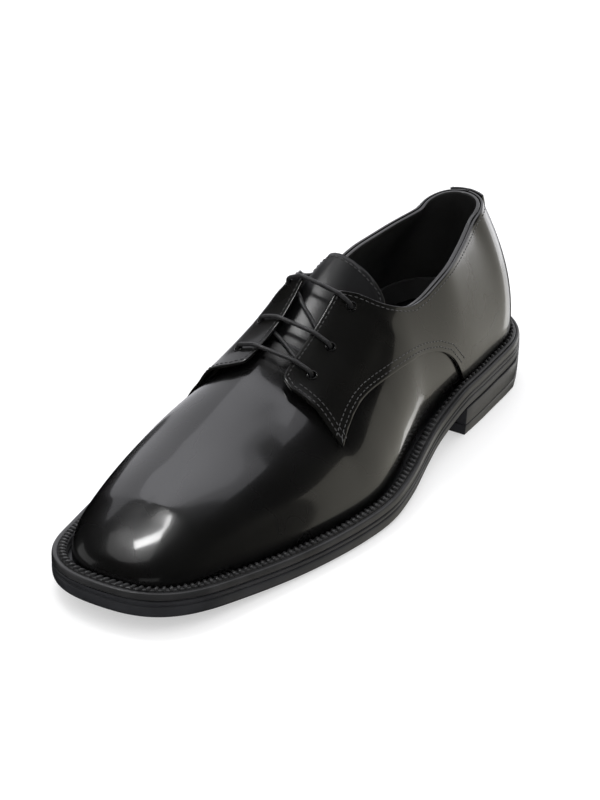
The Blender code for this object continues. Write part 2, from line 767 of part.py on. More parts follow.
def through_hole(station, side, towards):
    """The lace's turn through an eyelet, from the bar above the flap to the stretch below it."""
    centre, normal = eyelet(station, side)
    inner, _ = on_flap(station, side, eyelet_offset(station, side) - 0.003)
    bar_way = (inner - centre).normalized()
    below_way = (towards - towards.dot(normal) * normal).normalized()
    turns = (
        (bar_way, 0.0020, 0.00200),
        (bar_way, 0.0010, 0.00175),
        (bar_way, 0.0003, 0.00100),
        (bar_way, 0.0, 0.00030),
        (below_way, 0.0, -0.00100),
        (below_way, 0.0003, -0.00200),
        (below_way, 0.0010, -0.00255),
        (below_way, 0.0022, -0.00270),
    )
    return [centre + way * out + normal * up for way, out, up in turns]


def lace_bar(station, side):
    """The bar's points on one flap, from beside the eyelet to the facing's edge."""
    start = eyelet_offset(station, side) - 0.0034
    finish = facing_offset(spoke_at(station, side)) + 0.0008
    points = []
    for share in (0.0, 0.5, 1.0):
        point, normal = on_flap(station, side, start + (finish - start) * share)
        points.append(point + normal * (LACE_DIAMETER / 2 + 2 * GAP))
    return points


def lace_diagonal(station, following):
    """The stretch under the flaps, from a lateral eyelet up to the next medial one."""
    start = eyelet_offset(station, 1)
    finish = -eyelet_offset(following, -1)
    points = []
    for share in (0.2, 0.35, 0.5, 0.65, 0.8):
        here = station + (following - station) * share
        across = start + (finish - start) * share
        sag = 0.0 if here > THROAT - 0.014 else 0.0012 * sin(pi * share)
        side = 1 if across > 0 else -1
        points.append(surface_point(here, side, abs(across), LACE_DIAMETER / 2 + 0.0004 - sag))
    return points


def lace_route():
    """The lace's centre line: bars over the flaps from hole to hole, and diagonals under them."""
    route = []
    outwards = Vector((-1, 0, -0.3))
    for n, station in enumerate(EYELETS):
        diagonal = lace_diagonal(station, EYELETS[n + 1]) if n + 1 < len(EYELETS) else []
        medial, _ = eyelet(station, -1)
        lateral, _ = eyelet(station, 1)
        route += through_hole(station, -1, outwards)[::-1]
        route += lace_bar(station, -1)
        route += lace_bar(station, 1)[::-1]
        outwards = diagonal[0] - lateral if diagonal else Vector((1, 0, -0.5))
        route += through_hole(station, 1, outwards)
        route += diagonal
        if diagonal:
            outwards = diagonal[-1] - eyelet(EYELETS[n + 1], -1)[0]
    return route


def smooth_route(points, step):
    """Points read at even steps from a smooth curve through the route."""
    dense = []
    for n in range(len(points) - 1):
        before = points[max(n - 1, 0)]
        after = points[min(n + 2, len(points) - 1)]
        start, end = points[n], points[n + 1]
        for i in range(12):
            t = i / 12
            dense.append(
                0.5
                * (
                    2 * start
                    + (end - before) * t
                    + (2 * before - 5 * start + 4 * end - after) * t**2
                    + (3 * start - before - 3 * end + after) * t**3
                )
            )
    dense.append(points[-1])
    even = [dense[0]]
    for point in dense[1:]:
        if (point - even[-1]).length >= step:
            even.append(point)
    return even


def build_lace():
    """The laced stretch: three bars and two diagonals, its ends hidden under the flaps."""
    curve = bpy.data.curves.new("lace", "CURVE")
    curve.dimensions = "3D"
    curve.bevel_depth = LACE_DIAMETER / 2
    curve.bevel_resolution = LACE_SIDES - 1
    curve.use_fill_caps = True
    points = smooth_route(lace_route(), 0.0022)
    line = curve.splines.new("POLY")
    line.points.add(len(points) - 1)
    for place_here, point in zip(line.points, points):
        place_here.co = (*point, 1)
    material = bpy.data.materials.new("lace")
    material.use_nodes = True
    shader = material.node_tree.nodes["Principled BSDF"]
    shader.inputs["Base Color"].default_value = (0.01, 0.01, 0.01, 1)
    shader.inputs["Roughness"].default_value = 0.5
    curve.materials.append(material)
    obj = bpy.data.objects.new("lace", curve)
    bpy.context.scene.collection.objects.link(obj)


def main():
    for obj in list(bpy.data.objects):
        bpy.data.objects.remove(obj)
    build_upper()
    build_quarter("quarter_lateral", 1)
    build_quarter("quarter_medial", -1)
    build_heel_tab()
    build_tongue()
    build_insole()
    build_welt()
    build_outsole()
    build_heel("heel_stack", TOP_LIFT_THICKNESS + GAP, HEEL_HEIGHT - GAP, 0.0012, 0.0006)
    build_heel("top_lift", 0.0, TOP_LIFT_THICKNESS, 0.0018, 0.0012)
    build_lace()


main()
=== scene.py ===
from math import cos, pi, radians, sin

import bmesh
import bpy
from mathutils import Matrix, Quaternion, Vector
from mathutils.bvhtree import BVHTree
from mathutils.geometry import intersect_point_line


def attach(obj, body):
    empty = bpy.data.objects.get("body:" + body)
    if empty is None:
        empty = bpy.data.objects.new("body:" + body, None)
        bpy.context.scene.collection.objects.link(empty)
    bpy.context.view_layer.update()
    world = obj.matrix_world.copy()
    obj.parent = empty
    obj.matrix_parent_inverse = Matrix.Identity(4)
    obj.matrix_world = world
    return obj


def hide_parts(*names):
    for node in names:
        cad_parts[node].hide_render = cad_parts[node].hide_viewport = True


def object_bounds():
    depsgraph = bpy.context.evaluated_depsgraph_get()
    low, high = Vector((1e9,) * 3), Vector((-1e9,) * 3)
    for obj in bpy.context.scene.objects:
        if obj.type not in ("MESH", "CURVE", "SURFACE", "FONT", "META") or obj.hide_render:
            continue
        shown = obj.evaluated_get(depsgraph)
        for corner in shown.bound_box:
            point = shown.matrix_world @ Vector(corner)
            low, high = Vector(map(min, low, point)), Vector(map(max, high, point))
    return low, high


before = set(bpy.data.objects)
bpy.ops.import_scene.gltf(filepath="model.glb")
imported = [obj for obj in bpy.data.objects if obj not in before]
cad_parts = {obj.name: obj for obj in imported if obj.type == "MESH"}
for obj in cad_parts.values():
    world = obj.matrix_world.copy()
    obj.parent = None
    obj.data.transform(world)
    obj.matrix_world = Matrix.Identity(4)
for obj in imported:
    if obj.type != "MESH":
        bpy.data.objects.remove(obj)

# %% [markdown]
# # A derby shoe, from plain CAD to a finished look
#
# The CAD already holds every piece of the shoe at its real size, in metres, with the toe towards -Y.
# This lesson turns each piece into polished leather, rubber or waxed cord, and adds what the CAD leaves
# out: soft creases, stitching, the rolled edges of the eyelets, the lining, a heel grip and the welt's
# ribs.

start_bounds = [list(corner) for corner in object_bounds()]
shoe_length = start_bounds[1][1] - start_bounds[0][1]
shoe_height = start_bounds[1][2] - start_bounds[0][2]
print(f"the shoe is {shoe_length * 1000:.1f} mm long and {shoe_height * 1000:.1f} mm high")

# %% [markdown]
# ## Copies of the CAD pieces
#
# A CAD node is loose triangles. A copy of it is merged into quads first. Its sharp rims get a crease,
# and a subdivision then rounds everything between them.


# %% A smooth copy of a CAD node
MERGE_WITHIN = 0.00002


def deselect_all():
    bpy.ops.object.select_all(action="DESELECT")


def pick(obj):
    deselect_all()
    obj.select_set(True)
    bpy.context.view_layer.objects.active = obj


def merged_copy(node, name):
    """The node's mesh as a piece of its own, merged and turned back into quads."""
    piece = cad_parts[node].copy()
    piece.data = piece.data.copy()
    piece.name = name
    bpy.context.collection.objects.link(piece)
    pick(piece)
    bpy.ops.object.mode_set(mode="EDIT")
    bpy.ops.mesh.select_all(action="SELECT")
    bpy.ops.mesh.remove_doubles(threshold=MERGE_WITHIN)
    bpy.ops.mesh.tris_convert_to_quads(face_threshold=radians(50), shape_threshold=radians(60))
    bpy.ops.object.mode_set(mode="OBJECT")
    return piece


def apply_all(piece):
    pick(piece)
    for modifier in list(piece.modifiers):
        bpy.ops.object.modifier_apply(modifier=modifier.name)


def smoothed(piece, levels, rim_angle, crease=0.75, sheet=0.0):
    """Creases the rims sharper than an angle and subdivides the rest. A sheet's corners go round."""
    mesh = bmesh.new()
    mesh.from_mesh(piece.data)
    layer = mesh.edges.layers.float.get("crease_edge") or mesh.edges.layers.float.new("crease_edge")
    for edge in mesh.edges:
        edge.smooth = True
        through = abs(edge.calc_length() - sheet) < 0.2 * sheet
        if len(edge.link_faces) == 2 and edge.calc_face_angle() > radians(rim_angle) and not through:
            edge[layer] = crease
    mesh.to_mesh(piece.data)
    mesh.free()
    modifier = piece.modifiers.new("subdivision", "SUBSURF")
    modifier.levels = levels
    modifier.render_levels = levels
    apply_all(piece)
    pick(piece)
    bpy.ops.object.shade_smooth()
    return piece


def shape_of(piece):
    """The piece's mesh as it is now, kept to find its borders by."""
    mesh = bmesh.new()
    mesh.from_mesh(piece.data)
    return mesh


def finished(piece, node=None):
    """The piece rides with the shoe's one body and, where a CAD node is named, stands for it."""
    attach(piece, "root")
    if node:
        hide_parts(node)
    print(piece.name, len(piece.data.polygons), "faces")


# %% [markdown]
# ## Materials
#
# Polished leather is nearly black. What the eye reads is its clear coat, its very fine grain and the
# slow changes of its roughness. A cut edge is paler and rougher than the face beside it, and its pale
# colour also paints the highlight that a rounded edge catches. The sole is rubber with a soft sheen and
# the lace is waxed cord.


# %% Building blocks for the materials
NOISE_LOW = 0.3
NOISE_HIGH = 0.7


def new_material(name, colour, roughness, coat=0.0, coat_roughness=0.1):
    """A material with a plain colour, which shows wherever no tint covers it."""
    material = bpy.data.materials.new(name)
    material.use_nodes = True
    shader = material.node_tree.nodes["Principled BSDF"]
    shader.inputs["Base Color"].default_value = (*colour, 1)
    shader.inputs["Roughness"].default_value = roughness
    shader.inputs["Coat Weight"].default_value = coat
    shader.inputs["Coat Roughness"].default_value = coat_roughness
    return material


def object_noise(material, scale, detail=3.0, kind="ShaderNodeTexNoise"):
    """A noise or cell pattern on Object coordinates, and its first output."""
    nodes = material.node_tree.nodes
    links = material.node_tree.links
    place = nodes.new("ShaderNodeTexCoord")
    noise = nodes.new(kind)
    noise.inputs["Scale"].default_value = scale
    if kind == "ShaderNodeTexNoise":
        noise.inputs["Detail"].default_value = detail
        output = noise.outputs["Fac"]
    else:
        output = noise.outputs["Distance"]
    links.new(place.outputs["Object"], noise.inputs["Vector"])
    return output


def object_wave(material, scale, turn):
    """Even bands on Object coordinates, turned about the upright axis."""
    nodes = material.node_tree.nodes
    links = material.node_tree.links
    place = nodes.new("ShaderNodeTexCoord")
    turned = nodes.new("ShaderNodeMapping")
    turned.inputs["Rotation"].default_value = (0, 0, radians(turn))
    wave = nodes.new("ShaderNodeTexWave")
    wave.inputs["Scale"].default_value = scale
    links.new(place.outputs["Object"], turned.inputs["Vector"])
    links.new(turned.outputs["Vector"], wave.inputs["Vector"])
    return wave.outputs["Fac"]


def spread(material, value, low, high):
    """A noise's usual range spread between two numbers."""
    node = material.node_tree.nodes.new("ShaderNodeMapRange")
    node.inputs["From Min"].default_value = NOISE_LOW
    node.inputs["From Max"].default_value = NOISE_HIGH
    node.inputs["To Min"].default_value = low
    node.inputs["To Max"].default_value = high
    material.node_tree.links.new(value, node.inputs["Value"])
    return node.outputs["Result"]


def add_bump(material, value, strength, distance, target="Normal"):
    nodes = material.node_tree.nodes
    links = material.node_tree.links
    shader = nodes["Principled BSDF"]
    bump = nodes.new("ShaderNodeBump")
    bump.inputs["Strength"].default_value = strength
    bump.inputs["Distance"].default_value = distance
    links.new(value, bump.inputs["Height"])
    if shader.inputs[target].links:
        links.new(shader.inputs[target].links[0].from_socket, bump.inputs["Normal"])
    links.new(bump.outputs["Normal"], shader.inputs[target])


def tint(material, value, dark, light):
    """Colour between two tones by a noise."""
    nodes = material.node_tree.nodes
    links = material.node_tree.links
    ramp = nodes.new("ShaderNodeValToRGB")
    ramp.color_ramp.elements[0].position = NOISE_LOW
    ramp.color_ramp.elements[0].color = (*dark, 1)
    ramp.color_ramp.elements[1].position = NOISE_HIGH
    ramp.color_ramp.elements[1].color = (*light, 1)
    links.new(value, ramp.inputs["Fac"])
    links.new(ramp.outputs["Color"], nodes["Principled BSDF"].inputs["Base Color"])


# %% Polished leather
def polished_leather(name, dark, light, roughness, coat_roughness, coat=0.9):
    """Leather whose colour, roughness and coat change slowly over it, with a fine grain."""
    material = new_material(name, dark, roughness, coat=coat, coat_roughness=coat_roughness)
    shader = material.node_tree.nodes["Principled BSDF"]
    links = material.node_tree.links
    tint(material, object_noise(material, 22), dark, light)
    slow = object_noise(material, 30, detail=2.0)
    links.new(spread(material, slow, roughness - 0.05, roughness + 0.07), shader.inputs["Roughness"])
    links.new(
        spread(material, slow, coat_roughness - 0.02, coat_roughness + 0.04),
        shader.inputs["Coat Roughness"],
    )
    add_bump(material, object_noise(material, 90, detail=2.0), 0.10, 0.0006)
    add_bump(material, object_noise(material, 1500, kind="ShaderNodeTexVoronoi"), 0.10, 0.00008)
    add_bump(material, object_noise(material, 60, detail=1.0), 0.05, 0.0008, "Coat Normal")
    return material


# Each has its darkest and lightest colour, its roughness and its coat's
leather = polished_leather(
    "polished leather", (0.0024, 0.0024, 0.0026), (0.0040, 0.0039, 0.0038), 0.26, 0.07
)
quarter_leather = polished_leather(
    "quarter leather", (0.0034, 0.0033, 0.0030), (0.0056, 0.0054, 0.0048), 0.28, 0.09
)
tongue_leather = polished_leather(
    "tongue leather", (0.0060, 0.0060, 0.0068), (0.0100, 0.0100, 0.0110), 0.40, 0.24, coat=0.4
)
# The cut edge's pale colour is partly its own and partly a painted highlight of the rounded edge
cut_edge_and_highlight = polished_leather("cut edge", (0.080, 0.080, 0.080), (0.115, 0.115, 0.113), 0.34, 0.2)

# %% Lining, thread and lace
lining = new_material("lining leather", (0.012, 0.012, 0.012), 0.55)
tint(lining, object_noise(lining, 40), (0.016, 0.016, 0.016), (0.032, 0.032, 0.032))
add_bump(lining, object_noise(lining, 900, kind="ShaderNodeTexVoronoi"), 0.25, 0.0001)
add_bump(lining, object_noise(lining, 120), 0.2, 0.0003)

suede = new_material("heel grip suede", (0.020, 0.020, 0.021), 0.7)
tint(suede, object_noise(suede, 60), (0.028, 0.028, 0.029), (0.050, 0.050, 0.051))
add_bump(suede, object_noise(suede, 1400), 0.3, 0.0001)

thread = new_material("thread", (0.045, 0.045, 0.046), 0.42)
add_bump(thread, object_noise(thread, 3000), 0.4, 0.00005)

cord = new_material("waxed cord", (0.016, 0.016, 0.017), 0.40, coat=0.3, coat_roughness=0.28)
tint(cord, object_noise(cord, 500), (0.010, 0.010, 0.011), (0.022, 0.022, 0.023))
add_bump(cord, object_wave(cord, 420, 40), 0.5, 0.00012)
add_bump(cord, object_wave(cord, 420, -40), 0.5, 0.00012)

# %% Rubber of the sole, and the welt's
rubber = new_material("charcoal rubber", (0.03, 0.031, 0.034), 0.34)
tint(rubber, object_noise(rubber, 60), (0.014, 0.0145, 0.0165), (0.023, 0.0235, 0.0265))
add_bump(rubber, object_noise(rubber, 700), 0.18, 0.00012)
add_bump(rubber, object_noise(rubber, 45), 0.12, 0.0004)

welt_rubber = new_material("welt rubber", (0.032, 0.032, 0.033), 0.30)
tint(welt_rubber, object_noise(welt_rubber, 80), (0.014, 0.014, 0.0145), (0.024, 0.024, 0.0248))
add_bump(welt_rubber, object_noise(welt_rubber, 800), 0.15, 0.0001)

tread = new_material("tread rubber", (0.028, 0.029, 0.031), 0.6)
tint(tread, object_noise(tread, 200), (0.014, 0.0145, 0.016), (0.024, 0.0245, 0.027))
add_bump(tread, object_noise(tread, 260, kind="ShaderNodeTexVoronoi"), 0.5, 0.0004)


def dress(piece, *materials):
    piece.data.materials.clear()
    for material in materials:
        piece.data.materials.append(material)


# %% [markdown]
# ## The upper
#
# One wall: leather outside, lining inside. A face belongs to the lining if it looks towards the middle
# of the foot. The vamp gets its soft creases before it is rounded: vertices near a line are picked and
# moved a little, and the proportional move takes their neighbours along.

# %% Soft creases of the vamp
# Each crease's two ends in x and y, how far it rises, and how far that spreads
CREASES = (
    (Vector((0.004, -0.047, 0)), Vector((0.022, -0.064, 0)), -0.0005, 0.011),
    (Vector((-0.025, -0.084, 0)), Vector((0.000, -0.093, 0)), -0.0004, 0.010),
    (Vector((-0.026, -0.098, 0)), Vector((0.004, -0.109, 0)), 0.0004, 0.010),
)
CREASE_HALF_WIDTH = 0.0035
VAMP_LOWEST = 0.03


def crease_along(piece, start, end, rise, reach):
    """Moves the vertices near a line up or down, and those around them a little less."""
    pick(piece)
    bpy.ops.object.mode_set(mode="EDIT")
    bpy.ops.mesh.select_mode(type="VERT")
    bpy.ops.mesh.select_all(action="DESELECT")
    mesh = bmesh.from_edit_mesh(piece.data)
    for vert in mesh.verts:
        place = Vector((vert.co.x, vert.co.y, 0))
        nearest, share = intersect_point_line(place, start, end)
        on_line = 0 <= share <= 1 and (place - nearest).length < CREASE_HALF_WIDTH
        vert.select = on_line and vert.co.z > VAMP_LOWEST
    mesh.select_flush_mode()
    picked = sum(vert.select for vert in mesh.verts)
    bmesh.update_edit_mesh(piece.data)
    bpy.ops.transform.translate(
        value=(0, 0, rise),
        use_proportional_edit=True,
        proportional_edit_falloff="SMOOTH",
        proportional_size=reach,
    )
    bpy.ops.object.mode_set(mode="OBJECT")
    print("crease moved from", picked, "vertices")


upper = merged_copy("upper", "upper_finish")
for crease in CREASES:
    crease_along(upper, *crease)

# %% Upper, with its lining
UPPER_LEVELS = 2
RIM_ANGLE = 38
FOOT_HEIGHT = 0.035
FOOT_FRONT = -0.10
FOOT_BACK = 0.11


def looks_inwards(centre, normal):
    """True if a face of the upper looks at the middle line of the foot inside it."""
    inside = Vector((0, min(max(centre.y, FOOT_FRONT), FOOT_BACK), FOOT_HEIGHT))
    return normal.dot(inside - centre) > 0


smoothed(upper, UPPER_LEVELS, RIM_ANGLE)
dress(upper, leather, lining)
for polygon in upper.data.polygons:
    if looks_inwards(polygon.center, polygon.normal):
        polygon.material_index = 1
finished(upper, "upper")

# %% Quarters, tongue and heel tab
CUT_EDGE = 0.0016
TONGUE_THICKNESS = 0.0022


def mark_rims(piece, thickness):
    """Gives a sheet's cut edges, the faces no wider than the sheet is thick, the second material."""
    for polygon in piece.data.polygons:
        corners = [piece.data.vertices[n].co for n in polygon.vertices]
        sides = [(b - a).length for a, b in zip(corners, corners[1:] + corners[:1])]
        long_side = max(sides)
        # The rims get the pale edge leather, which also paints their highlight
        polygon.material_index = 1 if polygon.area / long_side < thickness else 0


quarter_shapes = {}
for side in ("lateral", "medial"):
    shape = merged_copy(f"quarter_{side}", f"quarter_{side}_finish")
    mark_rims(shape, CUT_EDGE)
    quarter_shapes[side] = shape_of(shape)
    smoothed(shape, 2, RIM_ANGLE, crease=0.6)
    dress(shape, quarter_leather, cut_edge_and_highlight)
    finished(shape, f"quarter_{side}")

tongue = merged_copy("tongue", "tongue_finish")
tongue_shape = shape_of(tongue)
smoothed(tongue, 2, RIM_ANGLE, crease=0.6, sheet=TONGUE_THICKNESS)
dress(tongue, tongue_leather)
finished(tongue, "tongue")

heel_tab = merged_copy("heel_tab", "heel_tab_finish")
tab_shape = shape_of(heel_tab)
smoothed(heel_tab, 2, RIM_ANGLE)
dress(heel_tab, leather)
finished(heel_tab, "heel_tab")

# %% Insole
insole = smoothed(merged_copy("insole", "insole_finish"), 1, rim_angle=30)
dress(insole, lining)
finished(insole, "insole")

# %% Heel grip
# The grip is the part of the lining behind and between three planes, moved inwards and thickened
GRIP_TOP = 0.051
GRIP_BOTTOM = 0.027
GRIP_FRONT = 0.070
GRIP_THICKNESS = 0.0011
GRIP_CLEARANCE = 0.0002

grip = bpy.data.objects.new("heel_grip", upper.data.copy())
bpy.context.collection.objects.link(grip)
mesh = bmesh.new()
mesh.from_mesh(grip.data)
outer = [face for face in mesh.faces if face.material_index == 0]
bmesh.ops.delete(mesh, geom=outer, context="FACES")
for place, way in (
    (Vector((0, 0, GRIP_TOP)), Vector((0, 0.10, 1))),
    (Vector((0, GRIP_FRONT, 0)), Vector((0, -1, 0.35))),
    (Vector((0, 0, GRIP_BOTTOM)), Vector((0, 0, -1))),
):
    everything = mesh.verts[:] + mesh.edges[:] + mesh.faces[:]
    bmesh.ops.bisect_plane(mesh, geom=everything, plane_co=place, plane_no=way, clear_outer=True)
for vert in mesh.verts:
    vert.co += vert.normal * GRIP_CLEARANCE
mesh.to_mesh(grip.data)
mesh.free()
thicken = grip.modifiers.new("thickness", "SOLIDIFY")
thicken.thickness = GRIP_THICKNESS
thicken.offset = 1
apply_all(grip)
dress(grip, suede)
finished(grip)

# %% [markdown]
# ## The sole
#
# The welt and the outsole are rounded between their crisp rims. The heel's straight layers keep their
# shape, and a small bevel on their edges catches the light.


# %% Welt, outsole and heel
def bevelled(piece, width, angle):
    modifier = piece.modifiers.new("bevel", "BEVEL")
    modifier.width = width
    modifier.segments = 3
    modifier.limit_method = "ANGLE"
    modifier.angle_limit = radians(angle)
    apply_all(piece)
    pick(piece)
    bpy.ops.object.shade_smooth_by_angle(angle=radians(40))
    return piece


def tread_below(piece):
    """Gives the faces that look down the tread's rubber."""
    dress(piece, rubber, tread)
    for polygon in piece.data.polygons:
        if polygon.normal.z < -0.8:
            polygon.material_index = 1


welt = merged_copy("welt", "welt_finish")
welt_shape = shape_of(welt)
smoothed(welt, 2, rim_angle=50, crease=0.55)
dress(welt, welt_rubber)
finished(welt, "welt")

outsole = smoothed(merged_copy("outsole", "outsole_finish"), 2, rim_angle=42, crease=0.7)
tread_below(outsole)
finished(outsole, "outsole")

for node in ("heel_stack", "top_lift"):
    layer = bevelled(merged_copy(node, f"{node}_finish"), width=0.0004, angle=50)
    tread_below(layer)
    finished(layer, node)

# %% Lace
lace = smoothed(merged_copy("lace", "lace_finish"), 2, rim_angle=60)
dress(lace, cord)
finished(lace, "lace")

# %% [markdown]
# ## Stitching
#
# A row of stitches runs beside an edge. The edge is the border of the quarter's outer face, read from
# the CAD's own mesh, so a row follows its seam when the shoe changes.


# %% Borders of a piece's outer face
def outer_region(mesh, seed):
    """The faces that join a seed face without crossing a sharp edge."""
    found = {seed}
    queue = [seed]
    while queue:
        face = queue.pop()
        for edge in face.edges:
            if len(edge.link_faces) != 2 or edge.calc_face_angle() > radians(RIM_ANGLE):
                continue
            for other in edge.link_faces:
                if other not in found:
                    found.add(other)
                    queue.append(other)
    return found


def borders(mesh, region):
    """The region's border loops, each a list of (point, tangent, normal), the outermost first."""
    edges = [e for e in mesh.edges if sum(f in region for f in e.link_faces) == 1]
    following = {}
    for edge in edges:
        face = next(f for f in edge.link_faces if f in region)
        for loop in face.loops:
            if loop.edge is edge:
                following[loop.vert] = (loop.link_loop_next.vert, face.normal.copy())
    loops = []
    while following:
        first = next(iter(following))
        chain = []
        here = first
        while here in following:
            there, normal = following.pop(here)
            tangent = (there.co - here.co).normalized()
            chain.append((here.co.copy(), tangent, normal))
            here = there
        loops.append(chain)
    reach = lambda chain: max(point.length for point, _, _ in chain)
    return sorted(loops, key=reach, reverse=True)


def outer_borders(mesh, outermost):
    """The border loops of the face region that holds the face with the highest mark."""
    mesh.normal_update()
    mesh.faces.ensure_lookup_table()
    return borders(mesh, outer_region(mesh, max(mesh.faces, key=outermost)))


def beside(loop, distance):
    """Points that run inside a border, at a distance from it."""
    points = []
    for n, (point, tangent, normal) in enumerate(loop):
        before = loop[n - 1][1]
        along = (tangent + before).normalized()
        points.append(point + normal.cross(along).normalized() * distance)
    return points


def even_steps(points, step):
    """Places at even steps along a line of points, each with its direction."""
    places = []
    left = step / 2
    for start, end in zip(points, points[1:]):
        stretch = (end - start).length
        while left <= stretch:
            places.append((start.lerp(end, left / stretch), (end - start).normalized()))
            left += step
        left -= stretch
    return places


# %% One stitch, copied along a row
STITCH_PITCH = 0.0026
STITCH_LENGTH = 0.0019
STITCH_WIDTH = 0.00055
STITCH_RISE = 0.00006
FARTHEST_DROP = 0.004


def model_bead(length, width):
    """A short form with round ends, along X: a stitch, or a rib of the welt."""
    deselect_all()
    bpy.ops.mesh.primitive_uv_sphere_add(segments=6, ring_count=5, radius=0.5, rotation=(0, pi / 2, 0))
    bead = bpy.context.object
    bead.scale = (width, width, length)
    bpy.ops.object.transform_apply(location=True, rotation=True, scale=True)
    return bead


def copies_along(name, model, places, surface, rise, slant=0.0):
    """Copies of a model at places on a surface, joined as one mesh."""
    joined = bmesh.new()
    for point, direction in places:
        spot, normal, _, _ = surface.find_nearest(point)
        if spot is None or (spot - point).length > FARTHEST_DROP:
            continue
        across = normal.cross(direction).normalized()
        ahead = across.cross(normal).normalized()
        turned = ahead * cos(slant) + across * sin(slant)
        sideways = normal.cross(turned)
        basis = Matrix((turned, sideways, normal)).transposed().to_4x4()
        basis.translation = spot + normal * rise
        start = len(joined.verts)
        joined.from_mesh(model.data)
        joined.verts.ensure_lookup_table()
        bmesh.ops.transform(joined, matrix=basis, verts=joined.verts[start:])
    mesh = bpy.data.meshes.new(name)
    joined.to_mesh(mesh)
    joined.free()
    mesh.shade_smooth()
    piece = bpy.data.objects.new(name, mesh)
    bpy.context.collection.objects.link(piece)
    return piece


def surface_of(piece):
    mesh = bmesh.new()
    mesh.from_mesh(piece.data)
    tree = BVHTree.FromBMesh(mesh)
    mesh.free()
    return tree


def rows_beside(loop, distance, wanted):
    """The unbroken parts of a line inside a border, where a test keeps the border's own points."""
    kept = [wanted(point) for point, _, _ in loop]
    line = beside(loop, distance)
    if all(kept):
        return [line + line[:1]]
    start = kept.index(False)
    parts = [[]]
    for n in range(start, start + len(loop)):
        point = line[n % len(loop)]
        if kept[n % len(loop)]:
            parts[-1].append(point)
        elif parts[-1]:
            parts.append([])
    return [part for part in parts if len(part) > 1]


stitch = model_bead(STITCH_LENGTH, STITCH_WIDTH)

# %% Stitch rows of the quarters
EDGE_ROW = 0.0020
SEAM_ROW = 0.0046
SEAM_TOP = 0.062
WELT_TOP = 0.0285
BACK_SEAM = 0.013
TIP_LENGTH = 0.022
TIP_SLACK = 0.001
back_y = start_bounds[1][1]
quarter_loops = {}
for side, mesh in quarter_shapes.items():
    outward = 1 if side == "lateral" else -1
    farthest_out = lambda face: outward * (face.calc_center_median().x + 0.01 * face.normal.x)
    loops = outer_borders(mesh, farthest_out)
    quarter_loops[side] = loops
    surface = surface_of(bpy.data.objects[f"quarter_{side}_finish"])
    print(side, "border loops", [len(loop) for loop in loops])

    tip = min((point for point, _, _ in loops[0]), key=lambda p: p.y)

    def on_edge(p):
        """Leaves out the back seam and the stretch hidden in the welt."""
        return p.y < back_y - BACK_SEAM and p.z > WELT_TOP

    def on_seam(p):
        """Keeps the seam to the vamp, from the front tip down to the welt."""
        beyond_tip = outward * (p.x - tip.x) > -TIP_SLACK or p.y > tip.y + TIP_LENGTH
        return on_edge(p) and p.z < SEAM_TOP and beyond_tip

    places = []
    for distance, wanted in ((EDGE_ROW, on_edge), (SEAM_ROW, on_seam)):
        for part in rows_beside(loops[0], distance, wanted):
            places += even_steps(part, STITCH_PITCH)
    rows = copies_along(f"quarter_{side}_stitches", stitch, places, surface, STITCH_RISE)
    dress(rows, thread)
    finished(rows)

# %% Stitches of the tongue's hem and of its seam
TONGUE_HEM = 0.0025
TONGUE_HEM_FRONT = 0.020
TONGUE_SEAM_Y = -0.0060
TONGUE_SEAM_GAP = 0.0024
TONGUE_SEAM_HALF = 0.016
TONGUE_SEAM_X = -0.006
TONGUE_SEAM_SLOPE = -0.10


def line_across(y, surface):
    """A line from side to side over a piece, dropped onto it from above."""
    line = []
    for n in range(33):
        x = TONGUE_SEAM_HALF * (n - 16) / 16 + TONGUE_SEAM_X
        above = Vector((x, y + TONGUE_SEAM_SLOPE * x, shoe_height * 2))
        hit, _, _, _ = surface.ray_cast(above, Vector((0, 0, -1)))
        if hit:
            line.append(hit)
    return line


tongue_surface = surface_of(tongue)
highest = lambda face: face.normal.z + 20 * face.calc_center_median().z
tongue_edge = outer_borders(tongue_shape, highest)[0]
hem = []
for part in rows_beside(tongue_edge, TONGUE_HEM, lambda p: p.y > TONGUE_HEM_FRONT):
    hem += even_steps(part, STITCH_PITCH)
seam = even_steps(line_across(TONGUE_SEAM_Y, tongue_surface), STITCH_PITCH)
seam += even_steps(line_across(TONGUE_SEAM_Y + TONGUE_SEAM_GAP, tongue_surface), STITCH_PITCH)
tongue_rows = copies_along("tongue_stitches", stitch, hem + seam, tongue_surface, STITCH_RISE)
dress(tongue_rows, thread)
finished(tongue_rows)

# %% Stitches round the heel tab
TAB_ROW = 0.0013
TAB_PITCH = 0.00221
farthest_back = lambda face: face.normal.y + 20 * face.calc_center_median().y
tab_edge = outer_borders(tab_shape, farthest_back)[0]
tab_line = beside(tab_edge, TAB_ROW)
tab_places = even_steps(tab_line + tab_line[:1], TAB_PITCH)
tab_rows = copies_along("heel_tab_stitches", stitch, tab_places, surface_of(heel_tab), STITCH_RISE)
dress(tab_rows, thread)
finished(tab_rows)

# %% [markdown]
# ## Eyelets
#
# The eyelets are punched, with no metal. Each hole's edge is rolled inwards, so it gets a thin ring of
# leather that rounds it.

